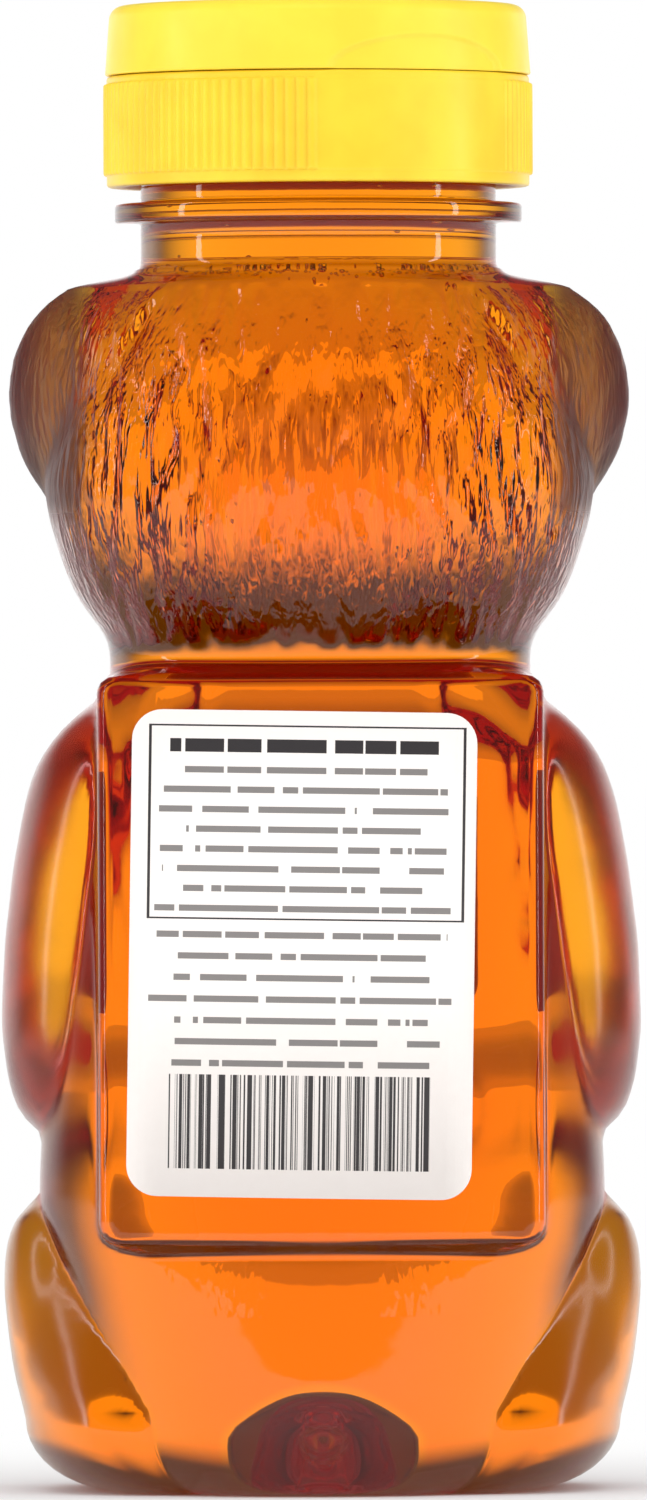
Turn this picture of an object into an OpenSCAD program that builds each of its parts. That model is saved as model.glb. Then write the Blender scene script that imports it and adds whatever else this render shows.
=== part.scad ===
// A squeeze bottle for honey in the shape of a sitting bear, with a screw-on
// flip-top closure. The bear looks along -Y and stands on the XY plane.

/* [Body] */
// Height of the moulded body, from the table to the root of the neck
body_h = 120.4; // [112:0.2:130]
// Width of the body over the arms
body_w = 63.2; // [59:0.2:70]
// Depth of the body at the belly
body_d = 47; // [44:0.5:54]
// Wall of the blown body
wall = 0.7; // [0.5:0.05:1]
// Radius of the push-up in the base
pushup_r = 10.5; // [8:0.5:12]
// Height of the push-up in the base
pushup_h = 10; // [4:0.5:11]

/* [Neck] */
// Outer diameter of the neck below the thread
neck_d = 35.1; // [34.6:0.1:35.6]
// Wall of the neck
neck_wall = 1.3; // [1.1:0.1:1.8]
// Length of plain neck between the body and the support ring
neck_below = 4.6; // [3:0.1:8]
// Diameter of the support ring
ring_d = 40.2; // [38:0.1:42]
// Thickness of the support ring
ring_t = 1.9; // [1.2:0.1:2.6]
// Height of the threaded finish above the support ring
finish_h = 10.1; // [10:0.1:12]
// Rise of the thread in one turn
thread_pitch = 4.23; // [3.8:0.01:4.6]
// How far the thread stands out from the neck
thread_depth = 1.1; // [0.7:0.05:1.2]
// Turns of thread on the neck
thread_turns = 1.2; // [1:0.05:1.3]

/* [Closure] */
// Outer diameter of the closure
cap_d = 42.4; // [42:0.1:46]
// Height of the lower, threaded part of the closure
skirt_h = 10.9; // [10:0.1:11.5]
// Height of the flip-top lid
lid_h = 7; // [6.6:0.1:10]
// Wall of the lid
lid_wall = 1.2; // [0.9:0.1:1.6]
// Thickness of the deck that closes the skirt
deck_t = 1.2; // [0.8:0.1:1.6]
// Depth of the grip ribs
rib_depth = 0.3; // [0.15:0.05:0.45]
// Angle from one grip rib to the next
rib_step = 3; // [2.5:0.5:6]
// Angle between the back of the bear and the thumb recess
thumb_turn = 31; // [0:1:90]
// Width of the thumb recess
thumb_w = 20.6; // [14:0.2:24]
// Height of the thumb recess above the split
thumb_h = 3.6; // [2:0.1:4.5]
// Depth of the thumb recess
thumb_depth = 0.5; // [0.3:0.05:0.6]
// Bore of the pouring spout
spout_bore = 4.8; // [4:0.1:6]
// Wall of the pouring spout
spout_wall = 1.1; // [0.8:0.1:1.6]
// Width of the living hinge
hinge_w = 9; // [6:0.5:10]

/* [Labels] */
// Width of the back label
label_w = 33.7; // [20:0.1:34]
// Height of the back label
label_h = 47.5; // [30:0.5:48]
// Corner radius of the labels
label_r = 3; // [1:0.5:6]
// Thickness of the label paper
label_t = 0.15; // [0.1:0.05:0.3]
// How far the back label sits off centre
label_shift = 1.9; // [-2:0.1:2]
// How far the back label is turned on its panel
label_tilt = 1; // [0:0.1:1.5]
// Width of the front label
front_label_w = 25; // [16:0.5:26]
// Height of the front label
front_label_h = 24; // [16:0.5:25]

/* [Hidden] */

$fn = 96;
columns = 48;           // points round the body
weld = 0.5;             // how far one feature of a moulding runs into the next
eps = 0.01;             // overshoot of a cut

honey_gap = 0.05;       // between honey and wall
headspace = 5;          // from the honey to the rim
seal_t = 0.5;           // thickness of the seal disc
seal_gap = 0.1;         // between the seal disc and what it lies between
thread_gap = 0.25;      // between the two threads
lid_gap = 0.25;         // between the lid and what it shuts over
split_gap = 0.1;        // between the lid's edge and the shelf it rests on
label_gap = 0.03;       // glue under a label

// The form was drawn at this size, and is stretched to the size above.
drawn_h = 120.4;
drawn_w = 63.2;
drawn_d = 47;
kx = body_w / drawn_w;
ky = body_d / drawn_d;
kz = body_h / drawn_h;

neck_r = neck_d / 2;
bore_r = neck_r - neck_wall;
ring_z = body_h + neck_below;
finish_z = ring_z + ring_t;
rim_z = finish_z + finish_h;
honey_z = rim_z - headspace;
seal_z = rim_z + seal_gap;
deck_under_z = seal_z + seal_t + seal_gap;
deck_z = deck_under_z + deck_t;
shelf_h = 0.6;          // from the deck to the shelf under the lid
split_z = deck_z + shelf_h;
skirt_z = split_z - skirt_h;
lid_top_z = split_z + lid_h;

thread_r = neck_r + thread_depth;
cap_r = cap_d / 2;
cap_bore_r = thread_r + thread_gap;
lid_r = cap_r - 0.2;
lid_bore_r = lid_r - lid_wall;
snap_r = lid_bore_r - lid_gap;
snap_wall = 1.2;
snap_h = 0.9;
spout_h = 4.2;
spout_r = spout_bore / 2;
plug_gap = 0.15;

thumb_angle = 90 + thumb_turn;
thumb_smooth = 31;      // half angle of the stretch without ribs
hinge_angle = thumb_angle + 180;
hinge_flat = cap_r - 0.8;
hinge_t = 0.5;
hinge_half_h = 2;

// Half widths and half depths of the body without its limbs, as [height, size]
core_wide = [[0, 21], [7, 22.4], [20, 25.5], [28, 28], [34, 27.8], [46, 26.6], [60, 24.8], [70, 22.6],
             [76, 21], [80, 20.8], [84, 20.8], [86, 22.4], [88, 24], [92, 25.6], [96, 26.8], [100, 27.2],
             [106, 25.6], [112, 22.6], [116, 20], [119, 18.6]];
core_back = [[0, 22], [10, 22.4], [22, 22.2], [28, 21.2], [44, 21], [60, 20.6], [74, 19.8], [79, 18.6],
             [84, 18.8], [87, 20.6], [92, 22.6], [98, 23.4], [106, 23.2], [112, 22], [116, 20.2], [119, 18.6]];
core_front = [[0, 20.5], [6, 21.4], [16, 22], [28, 22.6], [40, 22.8], [52, 22.6], [64, 21.8], [74, 20.2],
              [80, 18.6], [84, 18.4], [88, 19.6], [94, 20.4], [102, 20.8], [110, 20.6], [116, 19.6], [119, 18.6]];
core_power = 2.3;

// How far each limb reaches to the side, as [height, reach]. Its slices are ovals.
ear_reach = [[94, 20], [97, 25.8], [99, 27.8], [101, 29], [104, 30.2], [107.6, 30.8], [110, 30.7],
             [112, 30.2], [114, 29.5], [116, 28.3], [117.5, 26.8], [119, 24.6], [120.4, 21.4]];
ear_half = [9, 16];
ear_y = -2.5;
ear_tip = 1.2;          // how far the corner of an ear's wedge lies beyond its reach
ear_lean = 35;          // turn of the wedge's two flanks
ear_round = 5;          // rounding of the wedge's corner
arm_reach = [[31, 18], [34, 26], [36, 29.2], [38, 30.3], [41, 31.2], [46, 31.7], [54, 31.4], [62, 30.4],
             [68, 29.3], [72, 28], [75, 25.9], [78, 22.4], [81, 18]];
arm_half = [9, 13];
arm_y = -3.5;
leg_reach = [[0, 28.8], [7, 29.4], [11, 30.5], [15, 31.1], [20, 31.6], [24, 31.4], [26.6, 30.6], [28.6, 29],
             [31, 25], [33, 18]];
leg_front = [[0, 21.5], [16, 22.5], [22, 21], [26, 18], [30, 15], [33, 11]];
leg_back = [[0, 22], [7, 21], [12, 18.5], [16, 16], [22, 12.5], [26, 10], [33, 8]];
leg_half = 11;
leg_y = -4.5;

// The bare forms run into each other over this distance
limb_blend = 0.9;

// The flat back of the torso, which carries the back label
slab_half = 21.9;
slab_y = 23.8;
slab_bend = 75;
slab_zone = [24.4, 80.8];
slab_corner = 2.4;      // rounding at the four corners
slab_round = 2;         // rounding of the upright edges

// The flat of the chest, which carries the front label
chest_y = 23.2;
chest_bend = 34;
chest_half = 15;
chest_zone = [44.5, 73.5];

// The flat of the soles, which nothing on the front stands out beyond
sole_y = 25.5;
sole_bend = 90;

function eased(table, z) = (lookup(z - 2, table) + 2 * lookup(z - 1, table) + 3 * lookup(z, table)
    + 2 * lookup(z + 1, table) + lookup(z + 2, table)) / 9;
function soft_max(a, b, k) = let (h = max(k - abs(a - b), 0)) max(a, b) + h * h / (4 * k);
function soft_min(a, b, k) = -soft_max(-a, -b, k);
function ramp(x) = let (t = min(max(x, 0), 1)) t * t * (3 - 2 * t);
function inside(z, zone, edge) = ramp((z - zone[0]) / edge + 0.5) * ramp((zone[1] - z) / edge + 0.5);

// How far out a ray from the axis leaves an oval
function oval_reach(c, s, centre, half) =
    let (a = pow(c / half.x, 2) + pow(s / half.y, 2),
         b = centre.x * c / pow(half.x, 2) + centre.y * s / pow(half.y, 2),
         d = b * b - a * (pow(centre.x / half.x, 2) + pow(centre.y / half.y, 2) - 1))
    d < 0 ? 0 : (b + sqrt(d)) / a;
function limb(c, s, z, reach, y, half) = oval_reach(abs(c), s, [eased(reach, z) - half.x, y], half);

// An ear is an oval whose back and front are flattened into a wedge
function ear(c, s, z) = let (tip = eased(ear_reach, z) + ear_tip, flanks = [for (side = [1, -1])
        let (away = abs(c) * cos(ear_lean) + side * s * sin(ear_lean))
        away > 0.1 ? (tip * cos(ear_lean) + side * ear_y * sin(ear_lean)) / away : 200])
    min(limb(c, s, z, ear_reach, ear_y, ear_half), soft_min(flanks[0], flanks[1], ear_round));

// A leg's slice is deeper in front than behind
function leg(c, s, z) = let (front = lookup(z, leg_front), back = lookup(z, leg_back))
    limb(c, s, z, leg_reach, leg_y, [leg_half, front + (back - front) * ramp((s + 0.15) / 0.4)]);

// How far out a ray meets a wall at y that bends back on both sides
function bent_wall(c, s, y, bend) = s <= 0.05 ? 200 : 2 * y / (s + sqrt(s * s + 2 * c * c * y / bend));

// Raised forms on the front, by the distance u round from the middle and the height z
function domed(q, tall) = q < 1 ? tall * (1 - q) * (1 + q - 2 * q * q * q) : 0;
function mound(u, z, at, half, tall) =
    domed(norm([(abs(u) - at.x) / half.x, (z - at.y) / half.y]), tall);
function ridge(u, z, from, to, half, tall) =
    let (p = [abs(u), z] - from, d = to - from, t = min(max(p * d / (d * d), 0), 1))
    domed(norm(p - t * d) / half, tall);
function relief(u, z) = mound(u, z, [0, 96.5], [13, 11], 3.4) + mound(u, z, [0, 100.5], [5, 4], 0.8)
    + max(ridge(u, z, [24, 43], [12, 38], 9, 1.6), mound(u, z, [9.5, 38], [9.5, 8.5], 2.4));

// The outside of the form, at an angle and a drawn height
front_reach = 26;       // turns an angle into a distance round the front
function form_r(angle, z) =
    let (c = cos(angle), s = sin(angle),
         wide = eased(core_wide, z), deep = eased(s > 0 ? core_back : core_front, z),
         core = pow(pow(abs(c) / wide, core_power) + pow(abs(s) / deep, core_power), -1 / core_power),
         limbs = max(ear(c, s, z), limb(c, s, z, arm_reach, arm_y, arm_half), leg(c, s, z)),
         bare = soft_max(core, limbs, limb_blend))
    s > 0 ? with_slab(c, s, z, bare) : with_front(c, s, angle, z, bare);
function corner_in(near, r) = near < r ? r - sqrt(r * r - (r - near) * (r - near)) : 0;
function with_slab(c, s, z, bare) =
    let (half = slab_half - corner_in(max(min(z - slab_zone[0], slab_zone[1] - z), 0), slab_corner),
         slab = soft_min(half / max(abs(c), eps), bent_wall(c, s, slab_y, slab_bend), slab_round))
    bare + inside(z, slab_zone, 1.6) * (soft_max(bare, slab, 1) - bare);
function with_front(c, s, angle, z, bare) =
    let (turn = angle < 90 ? angle + 90 : angle - 270, u = front_reach * turn * PI / 180,
         front = soft_min(bare + relief(u, z), bent_wall(c, -s, sole_y, sole_bend), 2),
         chest = bent_wall(c, -s, chest_y, chest_bend),
         share = ramp((chest_half - abs(chest * c)) / 2 + 0.5) * inside(z, chest_zone, 3))
    share > 0 ? front + share * (chest - front) : front;

// Drawn heights of the rows of points down the side, of those that turn under it, and
// shares of the way out from the middle of the base
side_rows = [119.2, 118, 116, 113.4, 110.6, 108, 105.2, 102.4, 99.8, 97.4, 95, 92, 89.2, 87, 85, 82.6,
             81.2, 80, 78, 75.4, 72.6, 69, 65, 61, 57, 53, 49.4, 46, 43.4, 40.6, 38, 35.6, 33.2, 31,
             28.6, 25.4, 23.6, 20.6, 17, 13, 9.6, 7];
turn_rows = [4.4, 2.3, 0.9, 0.2, 0];
base_rows = [1, 0.93, 0.7, 0.38];
turn_z = 7;             // where the side starts to turn under
turn_in = [5.5, 9.5];   // how far it turns in, at the back and at the sides
neck_z = 118.4;         // where the shoulder starts to turn into the neck
lip = 0.6;              // how far the shoulder stands out from the neck
thin_z = [114, 119];    // where the wall thins towards the neck

function shoulder_r(angle, z) =
    let (share = ramp((z - neck_z) / 2)) (1 - share) * form_r(angle, neck_z) + share * (neck_r + lip) / kx;
function turned_in(angle, z) = let (lean = (turn_z - z) / turn_z)
    (turn_in[0] + (turn_in[1] - turn_in[0]) * pow(cos(angle), 2)) * (1 - sqrt(1 - lean * lean));
function outer_r(angle, z) = z > neck_z ? shoulder_r(angle, z)
    : z < turn_z ? form_r(angle, turn_z) - turned_in(angle, z) : form_r(angle, z);

// Points of the body's skin, moved inwards by an inset: down the side, and under the base
function at_angle(i) = 360 * i / columns;
function ring(r, z) = [for (i = [0:columns - 1]) [r * cos(at_angle(i)), r * sin(at_angle(i)), z]];
function side_ring(z, inset) = [for (i = [0:columns - 1])
    let (a = at_angle(i), r = outer_r(a, z), at_top = ramp((z - thin_z[0]) / (thin_z[1] - thin_z[0])), at_base = max(1 - z / turn_z, 0))
    [(kx * r - inset * (1 - 0.5 * at_top)) * cos(a), (ky * r - inset * (1 - 0.5 * at_top)) * sin(a),
     kz * z + inset * (at_base - 1.3 * at_top)]];
function base_ring(share, inset) = ring(share * pushup_r, pushup_h * (1 - pow(share, 2.5)) + inset);
function skin_rings(inset) = concat([for (z = side_rows) side_ring(z, inset)],
    [for (z = turn_rows) side_ring(z, inset)], [for (share = base_rows) base_ring(share, inset)]);

// Faces between a stack of rings, whose first point has the number first. Skins that lie
// inside one another are cut into triangles alike, counted from the ring above their skin.
function next(i) = (i + 1) % columns;
function stack_faces(count, above, first = 0) = [for (j = [0:count - 2]) for (i = [0:columns - 1])
    let (a = first + j * columns + i, b = first + j * columns + next(i), c = a + columns, d = b + columns)
    for (f = (i + j + above) % 2 == 0 ? [[a, b, d], [a, d, c]] : [[a, b, c], [b, d, c]]) f];
function fan_faces(first, tip) = [for (i = [0:columns - 1]) [first + i, first + next(i), tip]];
function flipped(faces) = [for (f = faces) [f[2], f[1], f[0]]];

module body_shell() {
    outside = concat([ring(neck_r + lip, body_h)], skin_rings(0));
    inside = concat([ring(bore_r - 0.2, body_h), ring(bore_r - 0.2, body_h - 1)], skin_rings(wall));
    first_in = len(outside) * columns;
    tip = first_in + len(inside) * columns;
    points = concat([for (r = outside) each r], [for (r = inside) each r],
                    [[0, 0, pushup_h], [0, 0, pushup_h + wall]]);
    brim = [for (i = [0:columns - 1]) for (f = [[i, first_in + i, first_in + next(i)],
                                                [i, first_in + next(i), next(i)]]) f];
    polyhedron(points, concat(brim, stack_faces(len(outside), 1), fan_faces(first_in - columns, tip),
        flipped(stack_faces(len(inside), 2, first_in)), flipped(fan_faces(tip - columns, tip + 1))), convexity = 8);
}

// A thread's ridge round the Z axis: it rises from z over the turns given, stands from the
// radius root to the radius crest, and sinks into the wall at both ends.
steps_per_turn = 36;
sunk = 0.25;            // share of the thread's depth by which its ends are sunk
module thread(root, crest, z, turns, root_w, crest_w, start = 0) {
    steps = round(turns * steps_per_turn);
    fade = 4;
    sections = [for (k = [0:steps])
        let (a = start + 360 * k / steps_per_turn, at = z + thread_pitch * k / steps_per_turn,
             grown = min(k, steps - k, fade) / fade, low = root - sign(crest - root) * weld,
             high = root + (crest - root) * ((1 + sunk) * grown - sunk))
        [for (p = [[low, -root_w / 2], [low, root_w / 2], [high, crest_w / 2], [high, -crest_w / 2]])
            [p.x * cos(a), p.x * sin(a), at + p.y]]];
    sides = 4;
    last = steps * sides;
    walls = [for (k = [0:steps - 1]) for (j = [0:sides - 1])
        let (a = k * sides + j, b = k * sides + (j + 1) % sides, c = a + sides, d = b + sides)
        for (f = [[a, b, d], [a, d, c]]) f];
    ends = [for (j = [1:sides - 2]) for (f = [[0, j + 1, j], [last, last + j, last + j + 1]]) f];
    faces = concat(walls, ends);
    polyhedron([for (s = sections) each s], crest > root ? flipped(faces) : faces, convexity = 6);
}

neck_thread_w = [2, 0.9];
cap_thread_w = [1.5, 0.7];
neck_thread_z = rim_z - 2.2 - thread_turns * thread_pitch;
cap_thread_turns = 1;
cap_thread_start = 270;

module bottle() {
    profile = [[bore_r, body_h - weld], [neck_r, body_h - weld], [neck_r, ring_z], [ring_d / 2 - 0.3, ring_z],
        [ring_d / 2, ring_z + 0.3], [ring_d / 2, finish_z - 0.3], [ring_d / 2 - 0.3, finish_z],
        [neck_r, finish_z], [neck_r, rim_z - 0.4], [neck_r - 0.4, rim_z], [bore_r + 0.3, rim_z],
        [bore_r, rim_z - 0.3]];
    color([0.98, 0.93, 0.84, 0.35]) union() {
        union() {
            rotate_extrude() polygon(profile);
            thread(neck_r, thread_r, neck_thread_z, thread_turns, neck_thread_w[0], neck_thread_w[1]);
        }
        body_shell();
    }
}

module honey() {
    rings = concat([ring(bore_r - honey_gap, honey_z), ring(bore_r - honey_gap, body_h + honey_gap),
                    ring(bore_r - 0.2 - honey_gap, body_h + honey_gap),
                    ring(bore_r - 0.2 - honey_gap, body_h - 1 - honey_gap)], skin_rings(wall + honey_gap));
    tip = len(rings) * columns;
    color([0.93, 0.5, 0.05]) polyhedron(concat([for (r = rings) each r],
            [[0, 0, pushup_h + wall + honey_gap], [0, 0, honey_z]]),
        concat(stack_faces(len(rings), 4), fan_faces(tip - columns, tip), flipped(fan_faces(0, tip + 1))),
        convexity = 6);
}

module seal_disc() {
    color([0.93, 0.93, 0.9]) translate([0, 0, seal_z]) cylinder(r = cap_bore_r - 0.6, h = seal_t);
}

// Cuts the flat for the living hinge into the closure's round side
module hinge_cut() {
    rotate([0, 0, hinge_angle]) translate([hinge_flat, -cap_r, skirt_z - 1])
        cube([cap_r, cap_d, skirt_h + lid_h + 2]);
}

// Outline of the skirt with its grip ribs, plain under the thumb recess
module ribbed_outline() {
    points_per_rib = 4;
    count = round(360 / rib_step) * points_per_rib;
    polygon([for (i = [0:count - 1])
        let (a = 360 * i / count, off = abs((a - thumb_angle + 540) % 360 - 180),
             valley = 1 - sin(180 * (i % points_per_rib) / points_per_rib),
             r = cap_r - rib_depth * (off < thumb_smooth ? 1 : valley))
        r * [cos(a), sin(a)]]);
}

module closure_base() {
    band_r = cap_r - rib_depth - 0.05;
    band_h = 1.1;
    shelf_chamfer = 0.3;
    spout_root = spout_r + spout_wall + 1;
    spout_z = deck_z + spout_h;
    color([1, 0.86, 0.25]) union() {
        difference() {
            union() {
                rotate_extrude() polygon([[0, skirt_z], [band_r - 0.3, skirt_z], [band_r, skirt_z + 0.3],
                    [band_r, split_z - shelf_chamfer], [band_r - shelf_chamfer, split_z], [0, split_z]]);
                translate([0, 0, skirt_z + band_h]) linear_extrude(skirt_h - band_h - 0.7) ribbed_outline();
                translate([0, 0, deck_z]) cylinder(r = snap_r, h = shelf_h + snap_h);
            }
            translate([0, 0, skirt_z - 1]) cylinder(r = cap_bore_r, h = deck_under_z - skirt_z + 1);
            translate([0, 0, deck_z]) cylinder(r = snap_r - snap_wall, h = shelf_h + snap_h + 1);
            hinge_cut();
            translate([0, 0, deck_under_z - 1]) cylinder(r = spout_r, h = deck_t + 2);
        }
        rotate_extrude() polygon([[spout_r, deck_z - deck_t / 2], [spout_root, deck_z - deck_t / 2],
            [spout_root, deck_z], [spout_r + spout_wall, deck_z + 1], [spout_r + spout_wall, spout_z - 0.3],
            [spout_r + spout_wall - 0.3, spout_z], [spout_r, spout_z]]);
        thread(cap_bore_r, neck_r + thread_gap, neck_thread_z + (cap_thread_start / 360 - 0.5) * thread_pitch,
               cap_thread_turns, cap_thread_w[0], cap_thread_w[1], cap_thread_start);
    }
}

// The thumb recess: what is cut away from the lid outside the recess's floor
module thumb_cut() {
    floor_r = lid_r - thumb_depth;
    intersection() {
        difference() {
            translate([0, 0, split_z - thumb_h]) cylinder(r = cap_r + 2, h = 2 * thumb_h);
            translate([0, 0, split_z - thumb_h - 1]) cylinder(r = floor_r, h = 2 * thumb_h + 2);
        }
        rotate([0, 0, thumb_angle]) translate([0, 0, split_z]) rotate([0, 90, 0])
            linear_extrude(cap_r + 3) scale([thumb_h, thumb_w / 2]) circle(1);
    }
}

module closure_lid() {
    edge_z = split_z + split_gap;
    ceiling_z = lid_top_z - lid_wall;
    top_round = 1.4;
    draft = 0.4;
    plug_z = deck_z + spout_h - 1.4;
    plug_r = spout_r - plug_gap;
    top_arc = [for (a = [0:15:90]) [lid_r - draft - top_round * (1 - cos(a)), lid_top_z - top_round * (1 - sin(a))]];
    color([1, 0.9, 0.35]) difference() {
        rotate_extrude() polygon(concat([[lid_bore_r, edge_z], [lid_r - 0.2, edge_z], [lid_r, edge_z + 0.2]], top_arc,
            [[0, lid_top_z], [0, plug_z], [plug_r - 0.4, plug_z], [plug_r, plug_z + 1.4], [plug_r, ceiling_z],
             [lid_bore_r - 0.8, ceiling_z], [lid_bore_r, ceiling_z - 0.8]]));
        thumb_cut();
        hinge_cut();
    }
}

module living_hinge() {
    color([1, 0.88, 0.3]) rotate([0, 0, hinge_angle])
        translate([hinge_flat, -hinge_w / 2, split_z - hinge_half_h]) cube([hinge_t, hinge_w, 2 * hinge_half_h]);
}

// A label on a wall that bends back from y, seen from the wall's own side
module label(w, h, y, bend, shift, tilt) {
    steps = 24;
    reach = w / 2 + 2;
    xs = [for (k = [-steps / 2:steps / 2]) 2 * reach * k / steps];
    function wall_y(x) = ky * (y - pow((x + shift) / kx, 2) / (2 * bend));
    translate([shift, 0, 0]) intersection() {
        linear_extrude(h + 4, center = true) polygon(concat([for (x = xs) [x, wall_y(x) + label_gap]],
            [for (k = [len(xs) - 1:-1:0]) [xs[k], wall_y(xs[k]) + label_gap + label_t]]));
        rotate([90, 0, 0]) rotate([0, 0, tilt]) linear_extrude(body_d * 2, center = true)
            union() {
                square([w - 2 * label_r, h], center = true);
                square([w, h - 2 * label_r], center = true);
                for (sx = [-1, 1], sy = [-1, 1])
                    translate([sx * (w / 2 - label_r), sy * (h / 2 - label_r)]) circle(label_r);
            }
    }
}

back_label_z = 53.1;
front_label_z = 59;
module back_label() {
    color([0.95, 0.92, 0.88]) translate([0, 0, kz * back_label_z])
        label(label_w, label_h, slab_y, slab_bend, label_shift, label_tilt);
}

module front_label() {
    color([0.95, 0.92, 0.88]) translate([0, 0, kz * front_label_z]) rotate([0, 0, 180])
        label(front_label_w, front_label_h, chest_y, chest_bend, 0, 0);
}

bottle();
honey();
seal_disc();
closure_base();
closure_lid();
living_hinge();
back_label();
front_label();
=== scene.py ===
# A bear-shaped squeeze bottle of honey with a flip-top closure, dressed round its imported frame.
# The bear looks along -Y, and the camera stands behind it on +Y.
import math
import random

import bmesh
import bpy
from mathutils import Matrix, Vector, noise


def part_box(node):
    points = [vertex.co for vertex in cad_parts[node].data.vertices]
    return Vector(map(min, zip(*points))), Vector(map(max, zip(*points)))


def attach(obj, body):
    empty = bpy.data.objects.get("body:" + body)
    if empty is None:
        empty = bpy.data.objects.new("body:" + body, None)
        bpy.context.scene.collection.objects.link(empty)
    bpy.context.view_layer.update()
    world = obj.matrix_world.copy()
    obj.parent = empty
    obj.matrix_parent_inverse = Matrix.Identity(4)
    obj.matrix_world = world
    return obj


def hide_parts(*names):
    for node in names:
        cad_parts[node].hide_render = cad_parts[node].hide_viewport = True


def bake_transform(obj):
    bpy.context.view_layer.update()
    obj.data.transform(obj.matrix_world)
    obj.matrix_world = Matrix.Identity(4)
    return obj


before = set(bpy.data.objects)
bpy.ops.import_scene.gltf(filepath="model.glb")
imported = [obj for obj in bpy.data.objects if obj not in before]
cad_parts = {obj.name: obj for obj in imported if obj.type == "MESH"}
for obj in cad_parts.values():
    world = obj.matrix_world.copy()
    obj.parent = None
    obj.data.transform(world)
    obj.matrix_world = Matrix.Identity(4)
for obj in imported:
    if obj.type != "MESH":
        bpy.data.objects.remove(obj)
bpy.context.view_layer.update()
mm = 0.001


def boxOf(node):
    low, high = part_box(node)
    return Vector(low) / mm, Vector(high) / mm


bottleLow, bottleHigh = boxOf("bottle")
honeyHigh = boxOf("honey")[1]
baseLow, baseHigh = boxOf("closure_base")
lidLow, lidHigh = boxOf("closure_lid")
print("frame loaded, bottle", [round(v, 1) for v in bottleHigh - bottleLow], "mm")


# Shapes are worked out in millimetres, and a piece is scaled to metres when it is finished.
# A ray that meets no wall is given the reach of farOff.
farOff = 200


def clamp(value, low=0.0, high=1.0):
    return min(max(value, low), high)


def ramp(x):
    t = clamp(x)
    return t * t * (3 - 2 * t)


def within(value, zone, edge):
    return ramp((value - zone[0]) / edge + 0.5) * ramp((zone[1] - value) / edge + 0.5)


def softMax(a, b, k):
    h = max(k - abs(a - b), 0)
    return max(a, b) + h * h / (4 * k)


def softMin(a, b, k):
    return -softMax(-a, -b, k)


def lookup(table, x):
    if x <= table[0][0]:
        return table[0][1]
    for (x0, y0), (x1, y1) in zip(table, table[1:]):
        if x <= x1:
            return y0 + (y1 - y0) * (x - x0) / (x1 - x0)
    return table[-1][1]


# A table read as a weighted mean round the place, so that its corners don't show
def eased(table, x):
    weights = ((-2, 1), (-1, 2), (0, 3), (1, 2), (2, 1))
    return sum(weight * lookup(table, x + step) for step, weight in weights) / 9


def steps(start, end, step):
    count = max(1, round(abs(end - start) / step))
    return [start + (end - start) * k / count for k in range(count)]


def polar(radius, angle, z):
    a = math.radians(angle)
    return Vector((radius * math.cos(a), radius * math.sin(a), z))


def turnFrom(angle, middle):
    return (angle - middle + 180) % 360 - 180


def finishPiece(name, bm, materials, body, replaced):
    mesh = bpy.data.meshes.new(name)
    bmesh.ops.scale(bm, vec=(mm, mm, mm), verts=bm.verts)
    for face in bm.faces:
        face.smooth = True
    bm.to_mesh(mesh)
    bm.free()
    piece = bpy.data.objects.new(name, mesh)
    bpy.context.scene.collection.objects.link(piece)
    for material in materials:
        mesh.materials.append(material)
    if body:
        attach(piece, body)
    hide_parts(*replaced)
    print("made", name, len(mesh.polygons), "faces")
    return piece


# Faces are turned outwards, also on a shell too thin for the operator to tell its sides apart
def turnOutward(bm):
    bmesh.ops.recalc_face_normals(bm, faces=bm.faces)
    if bm.calc_volume(signed=True) < 0:
        bmesh.ops.reverse_faces(bm, faces=bm.faces)
    bm.normal_update()


# A grid is rolled up round the axis, with one line of points for each row of a skin:
# rows[k](angle) is where a point of row k lies. A closed skin comes back to its first row.
def rollUp(rows, columns, closed=False):
    bm = bmesh.new()
    tall = len(rows) if closed else len(rows) - 1
    bmesh.ops.create_grid(bm, x_segments=columns, y_segments=tall, size=0.5)
    rowOf = bm.faces.layers.int.new("row")
    for face in bm.faces:
        face[rowOf] = round((face.calc_center_median().y + 0.5) * tall - 0.5)
    for vert in bm.verts:
        column, row = round((vert.co.x + 0.5) * columns), round((vert.co.y + 0.5) * tall)
        vert.co = rows[row % len(rows)](360 * (column % columns) / columns)
    bmesh.ops.remove_doubles(bm, verts=bm.verts, dist=0.0005)
    turnOutward(bm)
    return bm


# Shader sheets: a wire is a socket that can be added, multiplied and compared like a number
class Wire:
    def __init__(self, sheet, socket):
        self.sheet, self.socket = sheet, socket

    def calc(self, operation, *others):
        return self.sheet.add("Math", {"operation": operation}, dict(enumerate((self, *others))))

    def __add__(self, other):
        return self.calc("ADD", other)

    def __sub__(self, other):
        return self.calc("SUBTRACT", other)

    def __rsub__(self, other):
        return self.calc("MULTIPLY_ADD", -1, other)

    def __abs__(self):
        return self.calc("ABSOLUTE")

    def __mul__(self, other):
        return self.calc("MULTIPLY", other)

    def __truediv__(self, other):
        return self.calc("DIVIDE", other)

    def __gt__(self, other):
        return self.calc("GREATER_THAN", other)

    def __lt__(self, other):
        return self.calc("LESS_THAN", other)

    def band(self, middle, half):
        return self.calc("COMPARE", middle, half)

    def smooth(self, low, high):
        return self.sheet.add("MapRange", {"interpolation_type": "SMOOTHSTEP"},
                              {"Value": self, "From Min": low, "From Max": high})


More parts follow.
